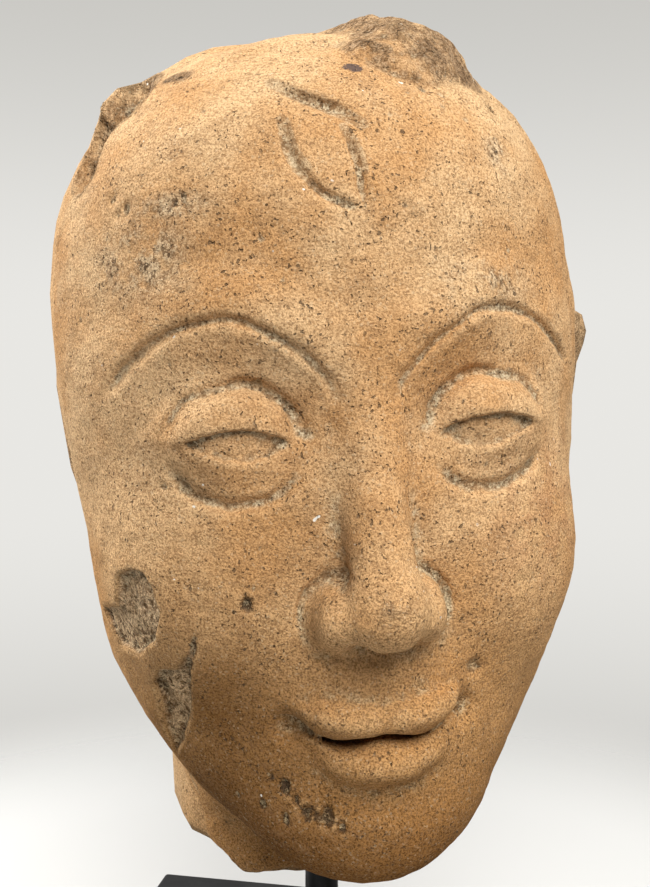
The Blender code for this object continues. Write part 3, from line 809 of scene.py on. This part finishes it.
class Shader:
    """A short way to write a node tree: each method adds a node and returns its output."""

    def __init__(self, tree, place="Object"):
        self.nodes = tree.nodes
        self.links = tree.links
        self.place = self.nodes.new("ShaderNodeTexCoord").outputs[place]

    def feed(self, socket, value):
        """Links an output to the socket, or sets the socket to a number or a colour."""
        if isinstance(value, bpy.types.NodeSocket):
            self.links.new(value, socket)
        elif isinstance(value, tuple) and socket.type == "RGBA":
            socket.default_value = (*value, 1)
        else:
            socket.default_value = value

    def mark(self, name):
        """One of the per-vertex shares of add_marks."""
        node = self.nodes.new("ShaderNodeAttribute")
        node.attribute_name = name
        return node.outputs["Fac"]

    def axis(self, name):
        node = self.nodes.new("ShaderNodeSeparateXYZ")
        self.links.new(self.place, node.inputs[0])
        return node.outputs[name]

    def stretched(self, factors):
        node = self.nodes.new("ShaderNodeMapping")
        self.links.new(self.place, node.inputs["Vector"])
        node.inputs["Scale"].default_value = factors
        return node.outputs["Vector"]

    def noise(self, size, detail=2.0, roughness=0.5, place=None):
        """Noise with features about size metres across, from 0 to 1."""
        node = self.nodes.new("ShaderNodeTexNoise")
        self.links.new(place or self.place, node.inputs["Vector"])
        node.inputs["Scale"].default_value = 1 / size
        node.inputs["Detail"].default_value = detail
        node.inputs["Roughness"].default_value = roughness
        return node.outputs["Fac"]

    def grains(self, size):
        """A random share for each of the cells about size metres apart."""
        node = self.nodes.new("ShaderNodeTexVoronoi")
        self.links.new(self.place, node.inputs["Vector"])
        node.inputs["Scale"].default_value = 1 / size
        apart = self.nodes.new("ShaderNodeSeparateColor")
        self.links.new(node.outputs["Color"], apart.inputs["Color"])
        return apart.outputs["Red"]

    def math(self, operation, *values):
        node = self.nodes.new("ShaderNodeMath")
        node.operation = operation
        for socket, value in zip(node.inputs, values):
            self.feed(socket, value)
        return node.outputs[0]

    def both(self, *values):
        """Shares multiplied together."""
        total = values[0]
        for value in values[1:]:
            total = self.math("MULTIPLY", total, value)
        return total

    def between(self, value, low, high, least=0.0, most=1.0):
        """least at low, most at high and smooth between, also where high is below low."""
        node = self.nodes.new("ShaderNodeMapRange")
        node.interpolation_type = "SMOOTHSTEP"
        self.feed(node.inputs["Value"], value)
        for name, number in (("From Min", low), ("From Max", high), ("To Min", least), ("To Max", most)):
            node.inputs[name].default_value = number
        return node.outputs["Result"]

    def mix(self, share, first, second, blend="MIX"):
        node = self.nodes.new("ShaderNodeMix")
        node.data_type = "RGBA"
        node.blend_type = blend
        for name, value in (("Factor_Float", share), ("A_Color", first), ("B_Color", second)):
            self.feed(next(socket for socket in node.inputs if socket.identifier == name), value)
        return node.outputs[2]

    def bump(self, height, distance, normal=None):
        node = self.nodes.new("ShaderNodeBump")
        node.inputs["Distance"].default_value = distance
        self.feed(node.inputs["Height"], height)
        if normal:
            self.links.new(normal, node.inputs["Normal"])
        return node.outputs["Normal"]


def new_material(name):
    made = bpy.data.materials.new(name)
    made.use_nodes = True
    return made, Shader(made.node_tree), made.node_tree.nodes["Principled BSDF"]


def terracotta():
    """Sandy fired clay: buff above, warmer and darker below, partly its own tone and partly painted shade.

    Painted shade darkens it under the chin, its hollows hold pale dirt and dark painted shade, and it has
    black pores.
    """
    made, s, surface = new_material("terracotta finish")
    patches = s.noise(0.032, 3, 0.6)
    mottle = s.noise(0.007, 4, 0.65)
    sand = s.noise(0.0004, 3, 0.75)
    crumbs = s.noise(0.0013, 3, 0.78)
    streaks = s.noise(0.0022, 3, 0.6, s.stretched((0.35, 0.35, 1.6)))
    strands = s.noise(0.0013, 2, 0.6, s.stretched((1.3, 1.3, 0.3)))
    grains = s.grains(0.0004)
    lower = s.mark("lower_face_tone_and_shade")

    # The fired clay and the dirt that lies on it, with painted shade in the darker lower face and left jaw
    colour = s.mix(s.between(patches, 0.38, 0.66), BUFF, ORANGE)
    # Warmer and darker towards the bottom of the face: partly the clay's own tone, partly painted shade
    colour = s.mix(s.between(lower, 0, 1, 0, 0.65), colour, ORANGE)
    colour = s.mix(s.between(lower, 0.5, 1.1, 0, 0.75), colour, UMBER_AND_SHADE)
    colour = s.mix(s.both(s.mark("right_cheek"), s.between(mottle, 0.4, 0.65, 0, 0.5)), colour, RED)
    colour = s.mix(s.between(mottle, 0.48, 0.75, 0, 0.35), colour, BROWN)
    # Left jaw darker brown: partly dirt, partly painted shade
    colour = s.mix(s.both(s.mark("left_jaw_dirt_and_shade"), s.between(patches, 0.25, 0.6, 0.5, 1.0)), colour, DEEP_BROWN_AND_SHADE)
    settled = s.between(s.noise(0.0045, 4, 0.7), 0.42, 0.6, 0, 0.75)
    settled = s.both(s.between(s.mark("recess"), 0.0, 0.5), settled)
    colour = s.mix(settled, colour, s.mix(s.between(crumbs, 0.42, 0.58), OLIVE, PALE))
    weathered = s.both(s.mark("weathered"), s.between(mottle, 0.42, 0.56, 0.1, 1.2))
    colour = s.mix(weathered, colour, s.mix(s.between(crumbs, 0.4, 0.54), WEATHERED_DARK, WEATHERED_LIGHT))

    # Breaks, chips, rubbed places, painted shade under the chin, and hollows with pale dirt and dark painted
    # shade
    lost = s.both(s.mark("broken"), s.between(mottle, 0.35, 0.6, 0.2, 0.95))
    colour = s.mix(lost, colour, s.mix(s.between(strands, 0.4, 0.58), BREAK_DARK, BREAK_LIGHT))
    rubbed = s.both(s.mark("nose_wear"), s.between(mottle, 0.38, 0.6))
    granular = s.both(s.mark("granular"), s.between(mottle, 0.32, 0.55, 0.6, 1.8))
    rubbed = s.math("MAXIMUM", s.both(rubbed, 0.5), s.math("MAXIMUM", granular, s.mark("chipped")))
    crumb = s.mix(s.mark("chipped"), CRUMB_LIGHT, CHIP_LIGHT)
    fracture = s.mix(s.between(crumbs, 0.34, 0.58), CRUMB_DARK, crumb)
    # Breaks on the left jaw are darkened too: partly dirt, partly painted shade
    fracture = s.mix(s.both(s.mark("left_jaw_dirt_and_shade"), 0.3), fracture, DEEP_BROWN_AND_SHADE)
    bare = s.both(s.between(rubbed, 0.1, 0.7), s.between(mottle, 0.3, 0.6, 0.6, 0.95))
    colour = s.mix(bare, colour, fracture)
    # Painted shade under the chin: darker towards the bottom
    colour = s.mix(1.0, colour, s.mix(s.mark("underside_shade"), (1, 1, 1), UNDERSIDE_SHADE), "MULTIPLY")
    # Hollows: pale dirt, and dark painted shade in the creases
    hollow_dirt_and_shade = s.both(s.between(s.mark("hollow"), 0.12, 0.8, 0, 0.7), s.between(mottle, 0.3, 0.55, 0.4, 1))
    hollow_dirt_and_shade = s.math("MAXIMUM", hollow_dirt_and_shade, s.between(s.mark("gritty"), 0.2, 0.6, 0, 0.45))
    colour = s.mix(hollow_dirt_and_shade, colour, s.mix(s.between(crumbs, 0.42, 0.58), DARK, s.mix(patches, OLIVE, PALE)))
    colour = s.mix(s.between(s.mark("hollow"), -0.15, -0.7, 0, 0.35), colour, BUFF)

    # Sand, pores, specks and the stain
    coarse = s.between(lower, 0.2, 1.0)
    shade = s.mix(coarse, *SAND_SHADE)
    shine = s.mix(coarse, *SAND_SHINE)
    colour = s.mix(1.0, colour, s.mix(s.between(sand, 0.36, 0.58), shade, shine), "MULTIPLY")
    colour = s.mix(s.between(streaks, 0.5, 0.75, 0, 0.22), colour, BROWN)
    colour = s.mix(s.between(grains, 0.26, 0.12, 0, 0.5), colour, BROWN)
    colour = s.mix(s.between(grains, 0.92, 0.99, 0, 0.2), colour, PALE)
    pores = s.both(s.between(s.noise(0.0011, 1, 0.4), 0.69, 0.75), s.between(s.noise(0.011), 0.42, 0.6))
    pinholes = s.both(s.between(s.noise(0.0006, 0), 0.71, 0.79), s.between(mottle, 0.38, 0.58))
    pores = s.math("MAXIMUM", pores, pinholes)
    pores = s.math("MAXIMUM", pores, s.both(s.mark("pitted"), s.between(crumbs, 0.6, 0.4)))
    colour = s.mix(s.between(pores, 0, 1, 0, 0.7), colour, DARK)
    specks = s.both(s.between(s.noise(0.0014, 0), 0.84, 0.87), s.between(s.noise(0.02), 0.5, 0.6))
    colour = s.mix(specks, colour, SPECK)
    stain = s.both(s.mark("stain"), s.between(crumbs, 0.35, 0.55, 0.55, 1.2))
    colour = s.mix(s.between(stain, 0.3, 0.6, 0, 0.9), colour, STAINED)

    s.feed(surface.inputs["Base Color"], colour)
    surface.inputs["Roughness"].default_value = 0.9
    surface.inputs["Specular IOR Level"].default_value = 0.04
    fine = s.bump(sand, 0.0003)
    fine = s.bump(s.both(s.math("MAXIMUM", rubbed, lost), crumbs), 0.0012, fine)
    fine = s.bump(streaks, 0.0002, fine)
    fine = s.bump(mottle, 0.0009, fine)
    s.feed(surface.inputs["Normal"], s.bump(s.math("SUBTRACT", 1.0, pores), 0.0006, fine))
    return made


def black_paint(name, roughness, grain_size):
    """Black paint with slight brushing, dust and rubbed spots."""
    made, s, surface = new_material(name)
    dust = s.between(s.noise(0.0012, 3, 0.7), 0.6, 0.8, 0, 0.25)
    s.feed(surface.inputs["Base Color"], s.mix(dust, BLACK_PAINT, DUST))
    uneven = s.noise(grain_size, 4, 0.6)
    s.feed(surface.inputs["Roughness"], s.between(uneven, 0.3, 0.7, roughness - 0.1, roughness + 0.1))
    surface.inputs["Specular IOR Level"].default_value = 0.25
    s.feed(surface.inputs["Normal"], s.bump(uneven, 0.00008))
    return made


def add_piece(name, shape, node, finish):
    """One piece made from a bmesh, which is used up."""
    mesh = bpy.data.meshes.new(name)
    shape.to_mesh(mesh)
    shape.free()
    mesh.shade_smooth()
    mesh.set_sharp_from_angle(angle=SHARP_ANGLE)
    mesh.materials.append(finish)
    piece = bpy.data.objects.new(name, mesh)
    bpy.context.scene.collection.objects.link(piece)
    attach(piece, "root")
    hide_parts(node)


def make_rod():
    low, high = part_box("stand_rod")
    shape = bmesh.new()
    radius = (high.x - low.x) / 2
    bmesh.ops.create_cone(
        shape,
        cap_ends=True,
        segments=ROD_SIDES,
        radius1=radius,
        radius2=radius,
        depth=high.z - low.z,
        matrix=Matrix.Translation((low + high) / 2),
    )
    rims = [edge for edge in shape.edges if abs(edge.verts[0].co.z - edge.verts[1].co.z) < radius]
    rounding = radius / 7
    bmesh.ops.bevel(shape, geom=rims, offset=rounding, segments=3, profile=0.5, affect="EDGES")
    add_piece("rod", shape, "stand_rod", black_paint("rod paint", 0.42, 0.004))


def make_base():
    low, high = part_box("stand_base")
    place = Matrix.Translation((low + high) / 2) @ Matrix.Diagonal((*(high - low), 1))
    shape = bmesh.new()
    bmesh.ops.create_cube(shape, size=1, matrix=place)
    edges = shape.edges[:]
    bmesh.ops.bevel(shape, geom=edges, offset=BLOCK_ROUNDING, segments=4, profile=0.5, affect="EDGES")
    add_piece("base", shape, "stand_base", black_paint("block paint", 0.6, 0.012))


def make_floor():
    """A pale disc that fades out into the backdrop."""
    shape = bmesh.new()
    bmesh.ops.create_circle(shape, cap_ends=True, segments=128, radius=FLOOR_FADE[1])
    mesh = bpy.data.meshes.new("floor")
    shape.to_mesh(mesh)
    shape.free()
    made, s, surface = new_material("pale floor")
    far = s.nodes.new("ShaderNodeVectorMath")
    far.operation = "LENGTH"
    s.links.new(s.place, far.inputs[0])
    surface.inputs["Base Color"].default_value = (*FLOOR_GREY, 1)
    surface.inputs["Roughness"].default_value = 0.9
    s.feed(surface.inputs["Alpha"], s.between(far.outputs["Value"], *FLOOR_FADE, 1, 0))
    mesh.materials.append(made)
    floor = bpy.data.objects.new("floor", mesh)
    bpy.context.scene.collection.objects.link(floor)


def add_light(name, place, size, watts, colour):
    """A soft square light that points at the head."""
    light = bpy.data.lights.new(name, "AREA")
    light.size = size
    light.energy = watts
    light.color = colour
    lamp = bpy.data.objects.new(name, light)
    lamp.location = place
    lamp.rotation_euler = (Vector(LIGHT_TARGET) - Vector(place)).to_track_quat("-Z", "Y").to_euler()
    bpy.context.scene.collection.objects.link(lamp)


def make_studio():
    """A pale backdrop behind, a darker room in front, and soft lights above and to the sides."""
    world = bpy.data.worlds.new("studio")
    world.use_nodes = True
    s = Shader(world.node_tree, "Generated")
    height = s.math("ABSOLUTE", s.math("ADD", s.axis("Z"), 0.06))
    wall = s.mix(s.between(height, 0.08, 0.4), WALL_LIGHT, WALL_GREY)
    front = s.between(s.axis("Y"), 0.3, -0.2)
    s.feed(world.node_tree.nodes["Background"].inputs["Color"], s.mix(front, wall, ROOM_DARK))
    bpy.context.scene.world = world
    for light in LIGHTS:
        add_light(*light)
    bpy.context.scene.view_settings.view_transform = "Standard"


def make_camera():
    lens = bpy.data.cameras.new("camera")
    lens.lens = CAMERA_LENS
    camera = bpy.data.objects.new("camera", lens)
    away = Vector((math.sin(CAMERA_TURN), -math.cos(CAMERA_TURN), 0))
    right = Vector((math.cos(CAMERA_TURN), math.sin(CAMERA_TURN), 0))
    camera.location = away * CAMERA_DISTANCE + right * CAMERA_ASIDE + Vector((0, 0, CAMERA_HEIGHT))
    camera.rotation_euler = (math.pi / 2 + CAMERA_PITCH, 0, CAMERA_TURN)
    bpy.context.scene.collection.objects.link(camera)
    bpy.context.scene.camera = camera


make_camera()
make_studio()
make_floor()
make_base()
make_rod()
make_head()
